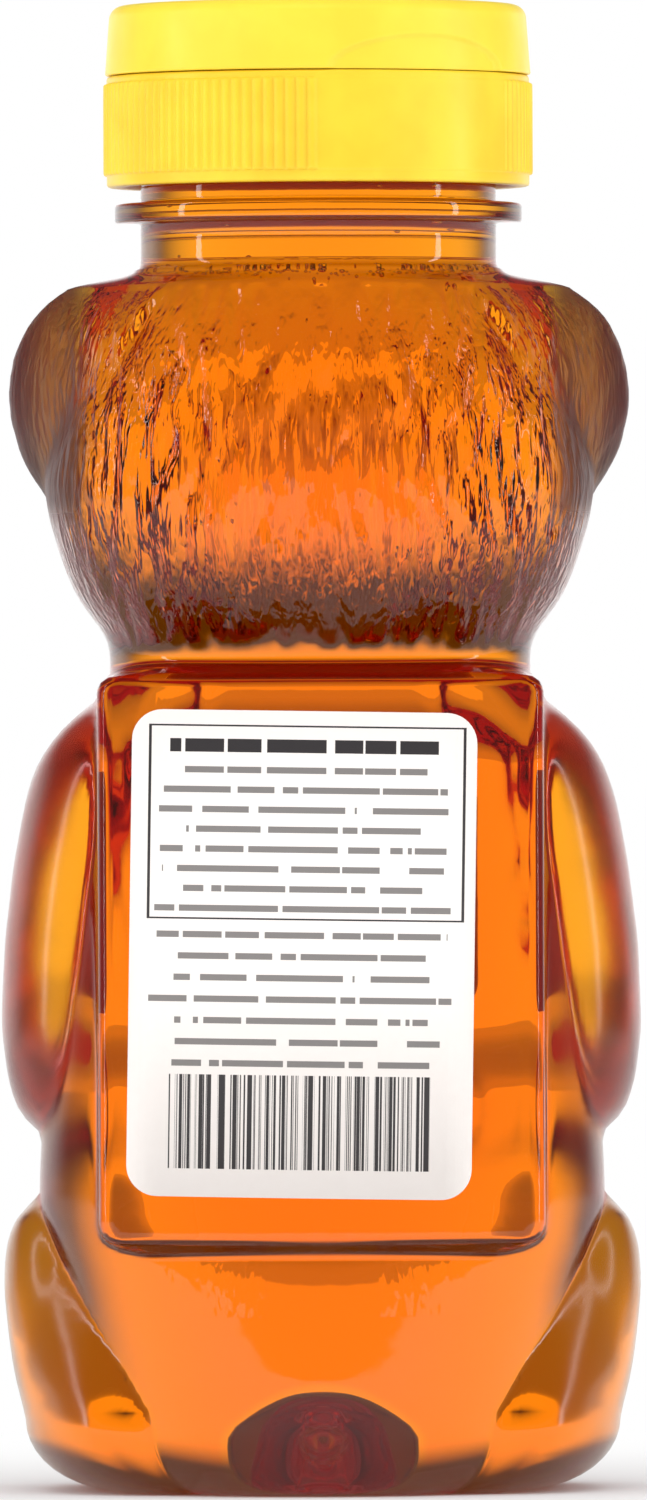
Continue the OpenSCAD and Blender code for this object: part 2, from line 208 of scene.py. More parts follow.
class Sheet:
    def __init__(self, owner):
        owner.use_nodes = True
        self.tree = owner.node_tree
        self.tree.nodes.clear()

    def add(self, kind, settings=None, sockets=None, output=0):
        node = self.tree.nodes.new("ShaderNode" + kind)
        for key, value in (settings or {}).items():
            setattr(node, key, value)
        for key, value in (sockets or {}).items():
            if isinstance(value, Wire):
                self.tree.links.new(value.socket, node.inputs[key])
            else:
                node.inputs[key].default_value = value
        return Wire(self, node.outputs[output])

    def spot(self, space="Object"):
        axes = self.add("SeparateXYZ", None, {0: self.add("TexCoord", output=space)})
        return [Wire(self, socket) for socket in axes.socket.node.outputs]

    def point(self, *values):
        return self.add("CombineXYZ", None, dict(enumerate(values)))

    def noise(self, scale, detail=2, roughness=0.5, vector=None):
        vector = vector or self.add("TexCoord", output="Object")
        return self.add("TexNoise", None, {"Vector": vector, "Scale": scale, "Detail": detail,
                                           "Roughness": roughness})

    def mixColor(self, amount, first, second):
        return self.add("Mix", {"data_type": "RGBA"}, {0: amount, 6: first, 7: second}, 2)

    def bump(self, height, distance, strength=1.0):
        return self.add("Bump", None, {"Height": height, "Distance": distance, "Strength": strength})

    def output(self, kind="Material", **links):
        node = self.tree.nodes.new("ShaderNodeOutput" + kind)
        for key, wire in links.items():
            self.tree.links.new(wire.socket, node.inputs[key.capitalize()])


def newMaterial(name):
    material = bpy.data.materials.new(name)
    return material, Sheet(material)


# The bear's form: half widths and half depths of the bare body, and the reach of its limbs, by height
form = {
    "corePower": 2.3, "limbBlend": 0.9,
    "coreWide": [(0, 21), (7, 22.4), (20, 25.5), (28, 28), (34, 27.8), (46, 26.6), (60, 24.8), (70, 22.6),
                 (76, 21), (80, 20.8), (84, 20.8), (86, 22.4), (88, 24), (92, 25.6), (96, 26.8), (100, 27.2),
                 (106, 25.6), (112, 22.6), (116, 20), (119, 18.6)],
    "coreBack": [(0, 22), (10, 22.4), (22, 22.2), (28, 21.2), (44, 21), (60, 20.6), (74, 19.8), (79, 18.6),
                 (84, 18.8), (87, 20.6), (92, 22.6), (98, 23.4), (106, 23.2), (112, 22), (116, 20.2),
                 (119, 18.6)],
    "coreFront": [(0, 20.5), (6, 21.4), (16, 22), (28, 22.6), (40, 22.8), (52, 22.6), (64, 21.8), (74, 20.2),
                  (80, 18.6), (84, 18.4), (88, 19.6), (94, 20.4), (102, 20.8), (110, 20.6), (116, 19.6),
                  (119, 18.6)],
    "earReach": [(94, 20), (97, 25.8), (99, 27.8), (101, 29), (104, 30.2), (107.6, 30.8), (110, 30.7),
                 (112, 30.2), (114, 29.5), (116, 28.3), (117.5, 26.8), (119, 24.6), (120.4, 21.4)],
    "armReach": [(31, 18), (34, 26), (36, 29.2), (38, 30.3), (41, 31.2), (46, 31.7), (54, 31.4), (62, 30.4),
                 (68, 29.3), (72, 28), (75, 25.9), (78, 22.4), (81, 18)],
    "legReach": [(0, 28.8), (7, 29.4), (11, 30.5), (15, 31.1), (20, 31.6), (24, 31.4), (26.6, 30.6),
                 (28.6, 29), (31, 25), (33, 18)],
    "legDepth": [(0, 21.5), (16, 22.5), (22, 21), (26, 18), (30, 15), (33, 11)],
    "legBack": [(0, 22), (7, 21), (12, 18.5), (16, 16), (22, 12.5), (26, 10), (33, 8)],
    "earHalf": (9, 16), "earY": -2.5, "earTip": 0.5, "earLean": 35, "earRound": 2.2,
    "armHalf": (9, 13), "armY": -3.5, "legHalf": 11, "legY": -4.5, "legTurn": (-0.15, 0.4),
    "slabHalf": 21.9, "slabY": 23.8, "slabBend": 75, "slabZone": (24.4, 80.8), "slabEdge": 1.6,
    "slabCorner": 2.4, "slabRound": 2, "slabBlend": 1,
    "chestY": 23.2, "chestBend": 34, "chestHalf": 19.5, "chestEdge": 14, "chestZone": (43, 75),
    "chestFade": 6, "soleY": 25.5, "soleBend": 90, "soleBlend": 2, "frontReach": 26,
    "turnZ": 7, "turnIn": (5.5, 9.5), "neckZ": 118.4, "neckEase": 2, "bodyTop": 120.4, "lip": 0.6,
    "fit": 0.998, "thinZone": (114, 119), "thinShare": 0.5, "thinDrop": 1.3,
    "dishAt": (23.6, 109.6), "dishHalf": (6, 7), "dishDeep": 0.9, "dishFade": 4,
}

# What stands out on the front: its place, its half size and its height
frontForm = {"forearm": ((24, 43), (12, 38), 9, 1.6), "paw": ((9.5, 38), (9.5, 8.5), 2.4),
             "snout": ((0, 96.5), (13, 11), 3.4), "nose": ((0, 100.5), (5, 4), 0.8)}


def ovalReach(c, s, centre, half):
    a = (c / half[0]) ** 2 + (s / half[1]) ** 2
    b = centre[0] * c / half[0] ** 2 + centre[1] * s / half[1] ** 2
    d = b * b - a * ((centre[0] / half[0]) ** 2 + (centre[1] / half[1]) ** 2 - 1)
    return 0 if d < 0 else (b + math.sqrt(d)) / a


def bentWall(c, s, y, bend):
    return farOff if s <= 0.05 else 2 * y / (s + math.sqrt(s * s + 2 * c * c * y / bend))


def cornerIn(near, r):
    return r - math.sqrt(r * r - (r - near) ** 2) if near < r else 0


def domed(q, tall):
    return tall * (1 - q) * (1 + q - 2 * q ** 3) if q < 1 else 0


def mound(u, z, at, half, tall):
    return domed(math.hypot((abs(u) - at[0]) / half[0], (z - at[1]) / half[1]), tall)


def ridge(u, z, start, end, half, tall):
    p, d = Vector((abs(u), z)) - Vector(start), Vector(end) - Vector(start)
    return domed((p - clamp(p.dot(d) / d.dot(d)) * d).length / half, tall)


def relief(u, z):
    arms = max(ridge(u, z, *frontForm["forearm"]), mound(u, z, *frontForm["paw"]))
    return mound(u, z, *frontForm["snout"]) + mound(u, z, *frontForm["nose"]) + arms


# One level slice of the bear's form
class Slice:
    def __init__(self, z):
        self.z = z
        self.level = clamp(z, form["turnZ"], form["neckZ"])
        self.size = {key: eased(form[key], self.level) for key in
                     ("coreWide", "coreBack", "coreFront", "earReach", "armReach", "legReach")}
        self.legDepth = [lookup(form[key], self.level) for key in ("legDepth", "legBack")]
        self.slabIn = within(self.level, form["slabZone"], form["slabEdge"])
        self.chestIn = within(self.level, form["chestZone"], form["chestFade"])

    def limb(self, c, s, reach, y, half):
        return ovalReach(abs(c), s, (self.size[reach] - half[0], y), half)

    def ear(self, c, s):
        tip, y = self.size["earReach"] + form["earTip"], form["earY"]
        lean = math.radians(form["earLean"])
        flanks = []
        for side in (1, -1):
            away = abs(c) * math.cos(lean) + side * s * math.sin(lean)
            flank = tip * math.cos(lean) + side * y * math.sin(lean)
            flanks.append(flank / away if away > 0.1 else farOff)
        return min(self.limb(c, s, "earReach", y, form["earHalf"]), softMin(*flanks, form["earRound"]))

    def back(self, c, s, bare):
        if self.slabIn == 0:
            return bare
        low, high = form["slabZone"]
        near = max(min(self.level - low, high - self.level), 0)
        half = form["slabHalf"] - cornerIn(near, form["slabCorner"])
        wallR = bentWall(c, s, form["slabY"], form["slabBend"])
        slab = softMin(half / max(abs(c), 0.01), wallR, form["slabRound"])
        return bare + self.slabIn * (softMax(bare, slab, form["slabBlend"]) - bare)

    def front(self, c, s, angle, bare):
        u = form["frontReach"] * math.radians(turnFrom(angle, 270))
        sole = bentWall(c, -s, form["soleY"], form["soleBend"])
        front = softMin(bare + relief(u, self.level), sole, form["soleBlend"])
        chest = bentWall(c, -s, form["chestY"], form["chestBend"])
        share = ramp((form["chestHalf"] - abs(chest * c)) / form["chestEdge"] + 0.5) * self.chestIn
        return front + share * (chest - front) if share > 0 else front

    def formRadius(self, angle):
        c, s = math.cos(math.radians(angle)), math.sin(math.radians(angle))
        size, power = self.size, form["corePower"]
        deep = size["coreBack"] if s > 0 else size["coreFront"]
        start, span = form["legTurn"]
        depth = self.legDepth[0] + (self.legDepth[1] - self.legDepth[0]) * ramp((s - start) / span)
        core = ((abs(c) / size["coreWide"]) ** power + (abs(s) / deep) ** power) ** (-1 / power)
        limbs = max(self.ear(c, s),
                    self.limb(c, s, "armReach", form["armY"], form["armHalf"]),
                    self.limb(c, s, "legReach", form["legY"], (form["legHalf"], depth)))
        bare = softMax(core, limbs, form["limbBlend"])
        return self.back(c, s, bare) if s > 0 else self.front(c, s, angle, bare)

    def radius(self, angle):
        r = self.formRadius(angle)
        if self.z > form["neckZ"]:
            share = ramp((self.z - form["neckZ"]) / form["neckEase"])
            return (1 - share) * r + share * (neck["radius"] + form["lip"])
        if self.z < form["turnZ"]:
            lean = (form["turnZ"] - self.z) / form["turnZ"]
            middle, side = form["turnIn"]
            turned = middle + (side - middle) * math.cos(math.radians(angle)) ** 2
            return r - turned * (1 - math.sqrt(1 - lean * lean))
        return r


# The neck carries the support ring above the shoulder, and its thread is placed down from the rim
neck = {"radius": 17.55, "wall": 1.3, "ringRadius": 20.1, "ringThick": 1.9, "below": 4.6, "pitch": 4.23,
        "topGap": 2.2, "fade": 25}
rimZ = bottleHigh.z
ringZ = form["bodyTop"] + neck["below"]
neckThread = {"start": 0, "turns": 1.2, "root": 2.0, "crest": 0.9, "depth": 1.1}
neckThread["bottom"] = rimZ - neck["topGap"] - neckThread["turns"] * neck["pitch"]
capThread = {"start": 270, "turns": 1, "root": 1.5, "crest": 0.7, "depth": 1.1,
             "bottom": neckThread["bottom"] + 0.25 * neck["pitch"]}
pushUp = {"radius": 10.5, "height": 10, "power": 2.5,
          "gate": [(0, 0.9), (0.5, 0.9), (0.8, 0.75), (1, 0.3), (1.15, 0.06)]}
wall = 0.7


def threadHeight(angle, z, thread):
    height, root, end = 0, thread["root"], 360 * thread["turns"]
    for lap in range(3):
        along = (angle - thread["start"]) % 360 + 360 * lap
        if along > end:
            break
        off = abs(z - thread["bottom"] - neck["pitch"] * along / 360)
        ends = clamp(min(along, end - along) / neck["fade"])
        flank = clamp((root / 2 - off) / ((root - thread["crest"]) / 2))
        height = max(height, thread["depth"] * ends * flank)
    return height


# Locks of fur on the back of the head, which run down and round it
furCoat = {"middle": 90, "spread": 64, "reach": 105, "zone": (84, 118.6), "edge": 2.5, "depth": 0.36,
           "width": 2.0, "length": 9, "earShare": 0.3, "earRise": (96, 4), "earEnd": (100, 8), "radius": 25,
           "sway": 1.3, "seed": 7.3}


def fur(angle, z):
    off = turnFrom(angle, furCoat["middle"])
    if abs(off) > furCoat["reach"] or not furCoat["zone"][0] - 1 < z < furCoat["zone"][1]:
        return 0
    (low, rise), (end, fade) = furCoat["earRise"], furCoat["earEnd"]
    ears = furCoat["earShare"] * ramp((z - low) / rise) * ramp((end - abs(off)) / fade)
    back = ramp((furCoat["spread"] - abs(off)) / 6 + 0.5)
    share = max(back, ears) * within(z, furCoat["zone"], furCoat["edge"])
    across = furCoat["radius"] * math.radians(off) * (1 + 0.18 * math.cos((z - 100) / 7))
    sway = furCoat["sway"] * noise.noise(Vector((across / 7, z / 8, furCoat["seed"])))
    spot = Vector(((across + sway) / furCoat["width"], z / furCoat["length"], furCoat["seed"]))
    locks = abs(noise.noise(spot)) * 1.6 + 0.5 * noise.noise(spot * 1.9 + Vector((3, 5, 1)))
    return furCoat["depth"] * share * math.tanh(2.2 * locks - 0.5)


# What the mould shows on the front: eyes, the line of the mouth and strokes of fur on the belly
faceForm = {"eye": ((7.4, 104.4), (1.9, 2.1), 1.1), "mouthZ": 94.7, "mouthHalf": 4.6, "mouthWide": 0.7,
            "mouthDeep": 0.4, "belly": (34, 80), "bellyReach": (16, 40), "bellyDepth": 0.14}


def faceMarks(angle, z):
    if not 180 < angle < 360:
        return 0
    u = form["frontReach"] * math.radians(turnFrom(angle, 270))
    height = mound(u, z, *faceForm["eye"])
    half, wide = faceForm["mouthHalf"], faceForm["mouthWide"]
    line = abs(z - faceForm["mouthZ"] - 0.06 * u * u)
    if abs(u) < half and line < wide:
        height -= faceForm["mouthDeep"] * ramp(1 - line / wide) * ramp((half - abs(u)) / 1.5)
    near, far = faceForm["bellyReach"]
    share = within(z, faceForm["belly"], 4) * ramp((abs(u) - near) / 3) * ramp((far - abs(u)) / 6)
    if share > 0:
        spot = Vector((u / 1.7 + 0.6 * noise.noise(Vector((u / 6, z / 6, 2))), z / 5, 4.4))
        height += faceForm["bellyDepth"] * share * math.tanh(3 * noise.noise(spot))
    return height


slices, radii = {}, {}


def outerRadius(z, angle):
    key = (round(z, 3), round(angle, 2))
    if key not in radii:
        if key[0] not in slices:
            slices[key[0]] = Slice(key[0])
        radii[key] = slices[key[0]].radius(angle) * form["fit"]
    return radii[key]


# A point of the skin, with the wall's thinning at the shoulder and the dish on the front of each ear
def skinPoint(z, angle, inset, detail=False):
    thin = ramp((z - form["thinZone"][0]) / (form["thinZone"][1] - form["thinZone"][0]))
    low = max(1 - z / form["turnZ"], 0)
    r = outerRadius(z, angle) - inset * (1 - form["thinShare"] * thin)
    if detail:
        r += fur(angle, z) + faceMarks(angle, z)
    point = polar(r, angle, z + inset * (low - form["thinDrop"] * thin))
    if point.y < 0:
        dish = mound(point.x, z, form["dishAt"], form["dishHalf"], form["dishDeep"])
        point.y += dish * ramp(-point.y / form["dishFade"])
    return point


# The steps between the rows of a skin are finer at both ends of the back panel and on the head
rowSteps = {"ends": ((22.5, 27), (78, 83.5)), "end": 0.5, "headZ": 83.5, "head": 0.8, "body": 1.2}


def sideHeights(coarse):
    heights, z = [], form["turnZ"]
    while z < form["neckZ"] - 0.2:
        heights.append(z)
        plain = rowSteps["head"] if z > rowSteps["headZ"] else rowSteps["body"]
        fine = any(low < z < high for low, high in rowSteps["ends"])
        z += (rowSteps["end"] if fine else plain) * coarse
    return heights


def levelRow(r, z):
    return lambda angle: polar(r, angle, z)


def rowsAt(points, row=levelRow):
    return [row(*point) for point in points]


def skinRow(z, inset, detail):
    return lambda angle: skinPoint(z, angle, inset, detail)


def footRow(share, inset):
    inner = pushUp["radius"]
    return lambda angle: polar(inner + share * (skinPoint(0, angle, inset).xy.length - inner), angle, inset)


# Rows of a skin from the middle of the base to the top of the shoulder
def skinRows(inset, coarse, detail=False):
    top, power = pushUp["height"], pushUp["power"]
    rows = [levelRow(share * pushUp["radius"], top * (1 - share ** power) + inset)
            for share in steps(0, 1, 0.06 * coarse)]
    if detail:
        rows[:2] = [levelRow(r, top - down) for r, down in pushUp["gate"]]
    rows += [footRow(share, inset) for share in steps(0, 1, 0.2 * coarse)]
    turns = [form["turnZ"] * (1 - math.cos(math.radians(t))) for t in steps(0, 90, 9 * coarse)]
    heights = turns + sideHeights(coarse) + steps(form["neckZ"], form["bodyTop"], 0.25 * coarse)
    return rows + [skinRow(z, inset, detail) for z in heights]


def neckThreadRow(z):
    return lambda angle: polar(neck["radius"] + threadHeight(angle, z, neckThread), angle, z)


# The blown bottle: its outside up to the rim, and its inside down to the base again
bottleLook = {"columns": 320, "outer": 1, "inner": 1.9}
neckR, ringR, boreR = neck["radius"], neck["ringRadius"], neck["radius"] - neck["wall"]
finishZ = ringZ + neck["ringThick"]
outerRows = skinRows(0, bottleLook["outer"], detail=True)
outerRows += rowsAt([
    (neckR + 0.6, 120.4), (neckR + 0.25, 120.55), (neckR + 0.05, 120.9), (neckR, 121.4), (neckR, 123),
    (neckR, ringZ - 0.2), (neckR + 0.2, ringZ), (ringR - 0.3, ringZ), (ringR - 0.08, ringZ + 0.08),
    (ringR, ringZ + 0.3), (ringR, finishZ - 0.3), (ringR - 0.08, finishZ - 0.08), (ringR - 0.3, finishZ),
    (neckR + 0.2, finishZ), (neckR, finishZ + 0.2)])
outerRows += [neckThreadRow(z) for z in steps(finishZ + 0.5, rimZ - 0.6, 0.3)]
outerRows += rowsAt([
    (neckR, rimZ - 0.5), (neckR - 0.12, rimZ - 0.12), (neckR - 0.5, rimZ), (boreR + 0.3, rimZ),
    (boreR, rimZ - 0.3), (boreR, honeyHigh.z)])
innerRows = rowsAt([(boreR, 130), (boreR, 127), (boreR, 124), (boreR, 120.5), (boreR - 0.2, 120.3),
                    (boreR - 0.2, 119.6)])
innerRows += skinRows(wall, bottleLook["inner"])[::-1]


def bottleMesh():
    bm = rollUp(outerRows + innerRows, bottleLook["columns"])
    rowOf = bm.faces.layers.int["row"]
    for face in bm.faces:
        face.material_index = 0 if face[rowOf] < len(outerRows) - 1 else 1
    return bm


# Clear plastic of the bottle, slightly uneven from its blow mould. Where honey wets it, nothing shows.
plasticLook = {"tint": (0.985, 0.975, 0.95, 1), "roughness": 0.035, "ior": 1.5, "bumpDistance": 0.00006,
               "grain": 140, "waves": 38, "strandScale": (700, 130), "strands": 9.0, "scuffs": 4.0,
               "headZ": ((0.0835, 0.0865), (0.1165, 0.119)), "headBack": (-0.007, 0.006),
               "scuffZ": (0.0205, 0.0028), "scuffX": (0.0105, 0.005), "scuffBack": (0, 0.01),
               "beside": (0.0215, 0.0245), "earZ": (0.094, 0.098), "limbZ": (0.08, 0.084),
               "earRough": 0.36, "earPaintedShade": (0.16, 0.1, 0.24, 1), "limbRough": 0.16}


def clearPlastic():
    material, sheet = newMaterial("bottlePlastic")
    grain = sheet.noise(plasticLook["grain"], 3) * 0.35 + sheet.noise(plasticLook["waves"], 2)
    x, y, z = sheet.spot()
    level, upright = plasticLook["strandScale"]
    strands = abs(sheet.noise(1, 2, 0.5, sheet.point(x * level, y * level, z * upright)) - 0.5)
    low, high = plasticLook["headZ"]
    head = z.smooth(*low) * (1 - z.smooth(*high)) * y.smooth(*plasticLook["headBack"])
    scuffs = z.band(*plasticLook["scuffZ"]) * abs(x).band(*plasticLook["scuffX"])
    scuffs = scuffs * y.smooth(*plasticLook["scuffBack"])
    grain = grain + strands * (head * plasticLook["strands"] + scuffs * plasticLook["scuffs"])
    beside = abs(x).smooth(*plasticLook["beside"])
    # Over the ears the clear plastic is darkened with painted shade, a dark tint for the brown the ears show
    # through the honey; ears and limbs are also made rougher
    ears = beside * z.smooth(*plasticLook["earZ"])
    limbs = beside * (1 - z.smooth(*plasticLook["limbZ"]))
    rough = ears * plasticLook["earRough"] + limbs * plasticLook["limbRough"] + plasticLook["roughness"]
    clear = sheet.add("BsdfPrincipled", None, {
        "Base Color": sheet.mixColor(ears, plasticLook["tint"], plasticLook["earPaintedShade"]), "Roughness": rough,
        "IOR": plasticLook["ior"], "Transmission Weight": 1,
        "Normal": sheet.bump(grain, plasticLook["bumpDistance"])})
    shadow = sheet.add("BsdfTransparent", None, {"Color": plasticLook["tint"]})
    lamp = sheet.add("LightPath", output="Is Shadow Ray")
    sheet.output(surface=sheet.add("MixShader", None, {0: lamp, 1: clear, 2: shadow}))
    wetted, sheet = newMaterial("wettedPlastic")
    sheet.output(surface=sheet.add("BsdfTransparent"))
    return [material, wetted]


finishPiece("bearBottle", bottleMesh(), clearPlastic(), "bottle", ["bottle"])

# The honey fills the bottle to a little below the rim, and takes its colour from its depth
honeyLook = {"columns": 144, "coarse": 1.6, "gap": 0.05, "absorbed": (0.5, 40.0, 190.0), "density": 200,
             "meniscus": 0.35, "seed": 11, "froth": 560, "frothSizes": (0.12, 0.16, 0.2, 0.28),
             "frothRadius": (15.9, 16.6), "frothZ": (118.6, 120.2), "bubbles": 46, "bubbleZ": (88, 119),
             "bubbleSize": (0.15, 0.42), "bubbleReach": (0.55, 0.93), "shoulderZ": 117,
             "shoulderReach": (8, 15), "neckBubbles": 15, "neckSize": (0.15, 0.4),
             "neckReach": (6, 15.4), "bubbleIor": 0.68}


def honeyMesh():
    inset, top, r = wall + honeyLook["gap"], honeyHigh.z, boreR - honeyLook["gap"]
    sunk = top - honeyLook["meniscus"]
    rows = skinRows(inset, honeyLook["coarse"])
    rows += rowsAt([(r - 0.2, 119.4), (r - 0.2, 120.4), (r, 120.5), (r, 124), (r, 128), (r, top),
                    (r - 0.3, top - 0.6 * honeyLook["meniscus"]), (r - 1, sunk), (r / 2, sunk), (0, sunk)])
    bm = rollUp(rows, honeyLook["columns"])
    random.seed(honeyLook["seed"])
    for spot, size in frothSpots() + bubbleSpots():
        made = bmesh.ops.create_icosphere(bm, subdivisions=2 if size > 0.2 else 1, radius=size,
                                          matrix=Matrix.Translation(spot))
        for face in {face for vert in made["verts"] for face in vert.link_faces}:
            face.material_index = 1
    return bm


# Fine froth lies under the shoulder, and larger air bubbles hang in the neck and near the skin
def frothSpots():
    spots = []
    for _ in range(honeyLook["froth"]):
        angle, size = random.uniform(0, 360), random.choice(honeyLook["frothSizes"])
        r, z = random.uniform(*honeyLook["frothRadius"]), random.uniform(*honeyLook["frothZ"])
        spots.append((polar(r, angle, z), size))
    return spots


def bubbleSpots():
    spots = []
    for _ in range(honeyLook["bubbles"]):
        angle, z = random.uniform(0, 360), random.uniform(*honeyLook["bubbleZ"])
        size = random.uniform(*honeyLook["bubbleSize"])
        if z < honeyLook["shoulderZ"]:
            r = outerRadius(z, angle) * random.uniform(*honeyLook["bubbleReach"])
        else:
            r = random.uniform(*honeyLook["shoulderReach"])
        spots.append((polar(r - 1, angle, z), size))
    for _ in range(honeyLook["neckBubbles"]):
        angle, size = random.uniform(0, 360), random.uniform(*honeyLook["neckSize"])
        r, z = random.uniform(*honeyLook["neckReach"]), random.uniform(121, honeyHigh.z - 1)
        spots.append((polar(r, angle, z), size))
    return spots


def honeyMaterial():
    material, sheet = newMaterial("honey")
    dense = honeyLook["density"]
    inside = sheet.add("VolumeAbsorption", None, {
        "Color": [1 - taken / dense for taken in honeyLook["absorbed"]] + [1], "Density": dense})
    clear = sheet.add("BsdfPrincipled", None, {
        "Base Color": (1, 1, 1, 1), "Roughness": 0, "IOR": 1.0, "Transmission Weight": 1})
    sheet.output(surface=clear, volume=inside)
    bubble, sheet = newMaterial("airBubble")
    sheet.output(surface=sheet.add("BsdfPrincipled", None, {
        "Base Color": (1, 1, 1, 1), "Roughness": sheet.noise(3000, 1) * 0.02,
        "IOR": honeyLook["bubbleIor"], "Transmission Weight": 1}))
    return [material, bubble]


finishPiece("honeyFill", honeyMesh(), honeyMaterial(), "bottle", ["honey"])

# The closure's lower part: a skirt with grip ribs, a deck with the pouring spout, and a snap ring
closureLook = {"columns": 720, "ribStep": 3, "ribDepth": 0.3, "thumbAngle": 121, "smoothHalf": 31,
               "band": 1.1, "hingeFlat": 20.4, "boreRadius": 18.9, "snapRadius": 19.55, "snapWall": 1.2,
               "spoutBore": 2.4, "spoutWall": 1.1}
capR, bandR = 21.2, 20.85
skirtZ, splitZ, deckZ, deckUnder, spoutZ = baseLow.z, 139.5, 138.9, 137.7, baseHigh.z
hingeAngle = closureLook["thumbAngle"] + 180


def flattened(r, angle):
    off = math.radians(turnFrom(angle, hingeAngle))
    return min(r, closureLook["hingeFlat"] / math.cos(off)) if abs(off) < 0.3 else r


def ribRow(z, share):
    def at(angle):
        valley = 1 - abs(math.sin(math.radians(180 * angle / closureLook["ribStep"])))
        off = abs(turnFrom(angle, closureLook["thumbAngle"]))
        plain = ramp((closureLook["smoothHalf"] - off) / 1.5 + 0.5)
        r = capR - closureLook["ribDepth"] * (plain + (1 - plain) * valley)
        return polar(flattened(bandR + share * (r - bandR), angle), angle, z)
    return at


def flatRow(r, z):
    return lambda angle: polar(flattened(r, angle), angle, z)


def capThreadRow(z):
    return lambda angle: polar(closureLook["boreRadius"] - threadHeight(angle, z, capThread), angle, z)


def baseMesh():
    bore, snap, spout = closureLook["boreRadius"], closureLook["snapRadius"], closureLook["spoutBore"]
    snapIn, spoutOut = snap - closureLook["snapWall"], spout + closureLook["spoutWall"]
    low, high = skirtZ + closureLook["band"], splitZ - 0.7
    rows = rowsAt([
        (bore, skirtZ + 0.4), (bore + 0.3, skirtZ), (bandR - 0.3, skirtZ), (bandR - 0.08, skirtZ + 0.08),
        (bandR, skirtZ + 0.3), (bandR, low - 0.1)], flatRow)
    rows += rowsAt([(low, 0.05), (low + 0.05, 0.6), (low + 0.15, 0.9), (low + 0.4, 1)], ribRow)
    rows += [ribRow(z, 1) for z in steps(low + 1.4, high - 0.4, 1.4)]
    rows += rowsAt([(high - 0.2, 0.95), (high - 0.08, 0.7), (high, 0.05)], ribRow)
    rows += rowsAt([
        (bandR, high + 0.1), (bandR, splitZ - 0.3), (bandR - 0.08, splitZ - 0.08), (bandR - 0.3, splitZ),
        (snap + 0.15, splitZ), (snap, splitZ + 0.15), (snap, splitZ + 0.7), (snap - 0.2, splitZ + 0.9),
        (snapIn + 0.2, splitZ + 0.9), (snapIn, splitZ + 0.7), (snapIn, deckZ + 0.3), (snapIn - 0.3, deckZ)],
        flatRow)
    rows += rowsAt([
        (12, deckZ), (spoutOut + 1, deckZ), (spoutOut + 0.4, deckZ + 0.2), (spoutOut + 0.1, deckZ + 0.6),
        (spoutOut, deckZ + 1), (spoutOut - 0.05, spoutZ - 0.3), (spoutOut - 0.3, spoutZ),
        (spout + 0.3, spoutZ), (spout, spoutZ - 0.3), (spout, deckUnder + 0.2), (spout + 0.2, deckUnder),
        (12, deckUnder), (bore - 0.3, deckUnder), (bore, deckUnder - 0.3)])
    rows += [capThreadRow(z) for z in steps(deckUnder - 0.7, skirtZ + 0.6, 0.3)]
    return rollUp(rows, closureLook["columns"], closed=True)


# Moulded plastic with a fine skin, a little deeper in colour here and there
yellowLook = {"closure": ((0.98, 0.69, 0.036, 1), (0.93, 0.6, 0.022, 1)),
              "lid": ((1.0, 0.76, 0.055, 1), (0.97, 0.69, 0.04, 1)), "roughness": 0.3, "ior": 1.49,
              "subsurface": 0.12, "reach": 0.002, "bumpDistance": 0.00002}


def yellowPlastic(name, color, deep):
    material, sheet = newMaterial(name)
    cloud = sheet.noise(110, 3).smooth(0.35, 0.7)
    skin = sheet.noise(2600, 2)
    rough = cloud * 0.08 + yellowLook["roughness"]
    sheet.output(surface=sheet.add("BsdfPrincipled", None, {
        "Base Color": sheet.mixColor(cloud, color, deep), "Roughness": rough,
        "IOR": yellowLook["ior"], "Subsurface Weight": yellowLook["subsurface"],
        "Subsurface Scale": yellowLook["reach"], "Subsurface Radius": (1, 0.7, 0.15),
        "Normal": sheet.bump(skin, yellowLook["bumpDistance"], 0.5)}))
    return [material]


closurePlastic = yellowPlastic("closurePlastic", *yellowLook["closure"])
# The lid, and the hinge with it, take a lighter copy of the closure's yellow: painted light on the lid,
# which stands in brighter light than the base
lidPlasticPaintedLight = yellowPlastic("lidPlasticPaintedLight", *yellowLook["lid"])
finishPiece("closureBase", baseMesh(), closurePlastic, "closure", ["closure_base"])

# The flip-top lid, open chain from the middle of its top to the tip of its plug
lidLook = {"columns": 480, "radius": 21.0, "draft": 0.4, "topRound": 1.4, "wall": 1.2, "bore": 19.8,
           "thumbHalf": (10.3, 3.6), "thumbDepth": 0.5, "thumbEdge": 0.35, "plugRadius": 2.25,
           "plugZ": 141.7}
edgeZ, topZ = lidLow.z, lidHigh.z


def lidRow(r, z):
    def at(angle):
        off = math.radians(turnFrom(angle, closureLook["thumbAngle"]))
        floor = lidLook["radius"] - lidLook["thumbDepth"]
        half = lidLook["thumbHalf"]
        reach = r
        if r > floor and math.cos(off) > 0:
            q = math.hypot(r * math.sin(off) / half[0], (z - splitZ) / half[1])
            reach = r + ramp((1 - q) * half[1] / lidLook["thumbEdge"]) * (floor - r)
        return polar(flattened(reach, angle), angle, z)
    return at


